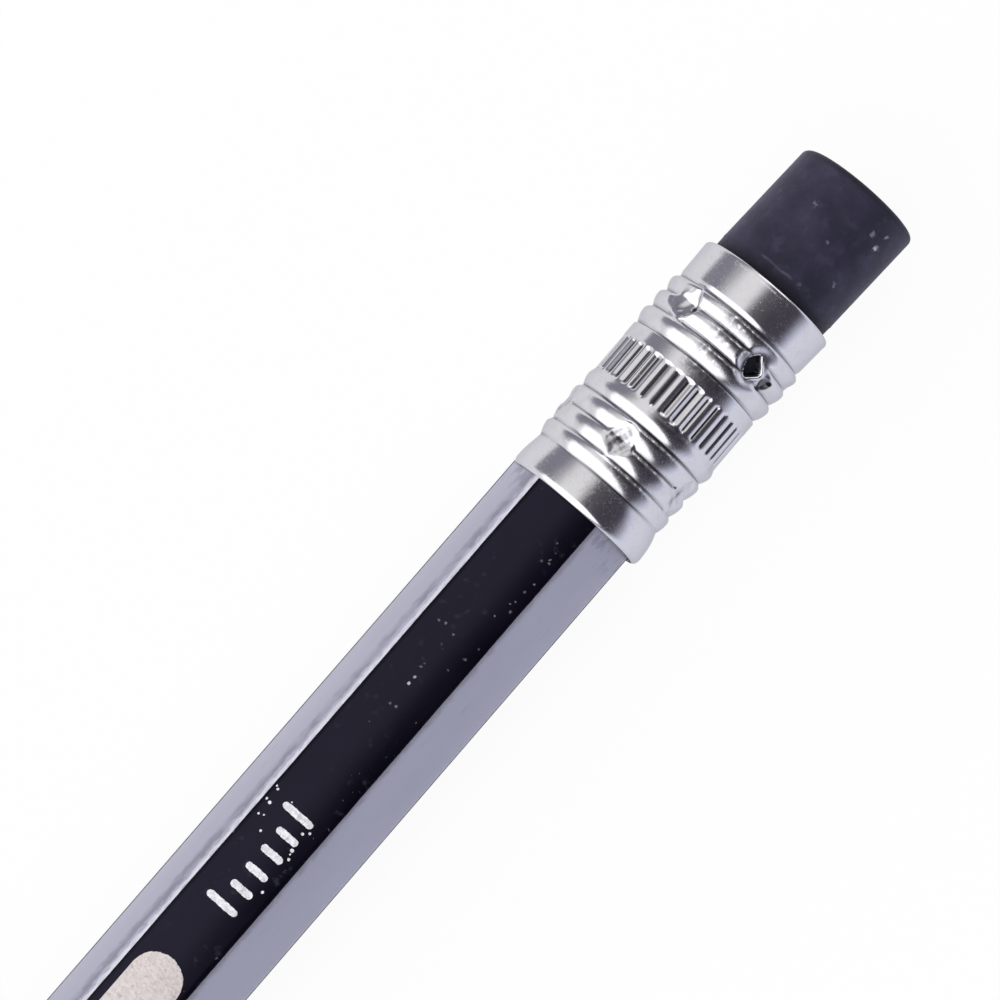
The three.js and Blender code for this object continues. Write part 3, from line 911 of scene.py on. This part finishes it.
# Painted shade: the rubber next to the rim is painted darker, where the ferrule shades it.
neck_shade = 1 - (from_rim + 0.5 * patchy).between(0.5, 1.15)
around = turn_at(place) + 12 * patchy
from_pinch = from_rim + 0.3 * patchy
pinch = from_pinch.between(0.86, 0.94) * (1 - from_pinch.between(0.97, 1.08))
pinch = pinch * around.between(-12, -4) * (1 - around.between(18, 26))
edge = from_rim.between(6.5, 6.9)
tone = (0.6 * cloud + 0.4 * filler).blend((0.010, 0.009, 0.0205, 1), (0.035, 0.0315, 0.062, 1))
tone = (0.3 * smear).blend(tone, (0.055, 0.05, 0.092, 1))
tone = (0.75 * neck_shade + 0.8 * edge).blend(tone, (0.006, 0.0055, 0.01, 1))
tone = (pinch * (0.3 + 0.5 * cloud)).blend(tone, (0.1, 0.092, 0.14, 1))
show(place, {
    "Base Color": crumb.blend(tone, (0.46, 0.44, 0.52, 1)),
    "Roughness": 0.6 + 0.2 * filler,
    "Specular IOR Level": 0.25,
    "Sheen Weight": 0.15,
    "Sheen Tint": (0.8, 0.77, 1.0, 1),
    "Normal": (filler + cloud + 2.5 * crumb).bump(0.35, 0.06 * MM),
})

rubber_turns = np.linspace(0, full_turn, 200, endpoint=False)
rubber_waves = (full_turn, full_turn / 2, full_turn / 5, full_turn / 9)
uneven = 0.012 * MM * ripple(rubber_turns, rubber_waves, 51)


def rubber_ring(along, radius):
    """A slightly uneven ring of points round the plug."""
    reach = radius + uneven * (radius / eraser_radius)
    return about_axis(along, reach, rubber_turns, rubber_offset(along))


hole_place = ferrule_low.x + upper_ring
pocket_depth = 0.1 * MM
held_radius = eraser_radius - 0.05 * MM
from_hole = (np.mod(rubber_turns - hole_turn + math.pi, full_turn) - math.pi) * eraser_radius
rows = [rubber_ring(eraser_low.x, 0.2 * MM), rubber_ring(eraser_low.x, eraser_radius - 0.1 * MM)]
for distance in np.linspace(-1.2, 1.2, 25):
    pocket = 1 - step(np.hypot(distance * MM, from_hole), 0.5 * MM, 0.85 * MM)
    rows.append(rubber_ring(hole_place + distance * MM, held_radius - pocket_depth * pocket))
for distance in np.linspace(-0.6, 6.6, 90):
    squeeze = 0.02 * math.exp(-(((distance - 0.15) / 0.55) ** 2))
    ridge = 0.02 * math.exp(-(((distance - 0.8) / 0.07) ** 2))
    rows.append(rubber_ring(rim + distance * MM, eraser_radius + (ridge - squeeze) * MM))
for turn in np.linspace(0, math.pi / 2, 9):
    along = eraser_high.x - eraser_edge * (1 - math.sin(turn))
    rows.append(rubber_ring(along, eraser_radius - eraser_edge * (1 - math.cos(turn))))
for share in (0.85, 0.7, 0.5, 0.3, 0.1, 0.02):
    rows.append(rubber_ring(eraser_high.x, (eraser_radius - eraser_edge) * share))
eraser = skin("eraser_rubber", np.array(rows), capped=True)
dress(eraser, rubber, "eraser_rubber", "eraser_plug")

# Studio: a white sheet that the pencil lies on, soft boxes above and beside it, and two low strip lights.
# The boxes leave dark gaps between them, which the bright metal and the black lacquer mirror.
# The camera looks down on the eraser end, rolled so that the pencil runs up to the right.

scene = bpy.context.scene
scene.view_settings.view_transform = "Standard"

sheet_reach = 3.0
fall = (lacquer_low.z - swell - ferrule_low.z) / (lacquer_high.x - lacquer_low.x)
corners = []
for along, across in ((-1, -1), (1, -1), (1, 1), (-1, 1)):
    along, across = along * sheet_reach, across * sheet_reach
    corners.append((along, across, fall * (ferrule_low.x - along)))
floor_mesh = bpy.data.meshes.new("floor")
floor_mesh.from_pydata(corners, [], [(0, 1, 2, 3)])
floor = bpy.data.objects.new("floor", floor_mesh)
scene.collection.objects.link(floor)
sheet = bpy.data.materials.new("white_sheet")
place = place_in(sheet)
fine = place.noise(0.8, 2.0)
paper_tone = fine.blend((0.92, 0.92, 0.93, 1), (0.95, 0.95, 0.96, 1))
paper = place.node("BsdfDiffuse", {}, {"Color": paper_tone})
camera_ray = place.node("LightPath", output="Is Camera Ray")
glossy_ray = place.node("LightPath", output="Is Glossy Ray")
transmission_ray = place.node("LightPath", output="Is Transmission Ray")
cool = glossy_ray * (1 - place.part("Y").between(-12, 0))
glow_tone = cool.blend((1, 1, 1, 1), (0.89, 0.905, 1.0, 1))
glow = place.node("Emission", {}, {"Color": glow_tone, "Strength": 1.0})
direct = 0.94 * (camera_ray + transmission_ray) + 0.72 * glossy_ray
mixed = place.node("MixShader", {}, {0: direct, 1: paper, 2: glow})
place.node("OutputMaterial", {}, {"Surface": mixed})
floor_mesh.materials.append(sheet)

world = bpy.data.worlds.new("studio")
scene.world = world
world.use_nodes = True
world.node_tree.nodes.clear()
aim = Wire(world.node_tree).node("TexCoord", output="Generated")
# Each way into the room is a lean to the side and a tilt forward along the pencil, in degrees.
lean = aim.math("ARCTAN2", -1 * aim.part("Y"), aim.part("Z")) * math.degrees(1)
forward = aim.node("Math", {"operation": "ARCSINE"}, {0: aim.part("X")}) * math.degrees(1)
overhead = (lean - 0.4 * forward).between(-69, -57) * (1 - lean.between(44, 62))
far_box = forward.between(44, 52) * (1 - forward.between(70, 80))
slant = lean.math("MAXIMUM", lean - 12, 0) * 0.8
soft_box = ((1 - (forward + slant).between(-11, -3)) + far_box) * overhead
window = lean.between(-60, -28) * (1 - lean.between(-8, 10))
aside = lean.math("MINIMUM", forward + 4, 0) * 1.5
left_wall = 1 - (lean + aside).between(-104, -83)
right_wall = lean.between(62, 93)
gap = lean.between(-52, -40).blend((0.28, 0.275, 0.32, 1), (0.1, 0.09, 0.105, 1))
gap = lean.between(18, 36).blend(gap, (0.07, 0.062, 0.08, 1))
light = window.blend(gap, (1.0, 0.99, 0.97, 1))
light = left_wall.blend(light, (0.88, 0.86, 0.87, 1))
light = right_wall.blend(light, (0.88, 0.91, 1.07, 1))
light = soft_box.blend(light, (1.8, 1.8, 1.82, 1))
studio_light = aim.node("Background", {}, {"Color": light, "Strength": 1.0})
aim.node("OutputWorld", {}, {"Surface": studio_light})

strip_length, strip_height = 0.2, 0.07
strip_middle = 0.062 - strip_length / 2
strip_aside, strip_rise = 0.25, 0.055
strip_tilt = math.radians(78)
for side, towards, level, tint in (
    ("left", 1, 4.0, (1, 1, 1)),
    ("right", -1, 2.8, (0.9, 0.93, 1.0)),
):
    strip_data = bpy.data.lights.new(f"strip_light_{side}", "AREA")
    strip_data.shape = "RECTANGLE"
    strip_data.size = strip_length
    strip_data.size_y = strip_height
    strip_data.color = tint
    strip_data.energy = level * math.pi * strip_length * strip_height
    strip = bpy.data.objects.new(f"strip_light_{side}", strip_data)
    strip.location = (strip_middle, towards * strip_aside, strip_rise)
    strip.rotation_euler = (-towards * strip_tilt, 0, 0)
    strip.visible_glossy = False
    scene.collection.objects.link(strip)

camera_data = bpy.data.cameras.new("camera")
camera_data.sensor_width = 36
camera_data.lens = 151.2
camera_data.clip_start = 0.01
camera = bpy.data.objects.new("camera", camera_data)
scene.collection.objects.link(camera)
scene.camera = camera
tilt_along, tilt_across = math.radians(3.2), math.radians(7.0)
camera_distance = 216 * MM
back = np.array([-math.tan(tilt_along), -math.tan(tilt_across), 1.0])
back /= np.linalg.norm(back)
along_axis = np.array([1.0, 0, 0]) - back * back[0]
along_axis /= np.linalg.norm(along_axis)
across_axis = np.cross(back, along_axis)
roll = math.radians(49.08)
right = math.cos(roll) * along_axis - math.sin(roll) * across_axis
above = math.sin(roll) * along_axis + math.cos(roll) * across_axis
target = np.array([69.91 * MM, 3.09 * MM, axis_height])
stand = target + back * camera_distance
camera_axes = np.stack([right, above, back, stand], axis=1).tolist()
camera.matrix_world = Matrix([*camera_axes, [0, 0, 0, 1]])
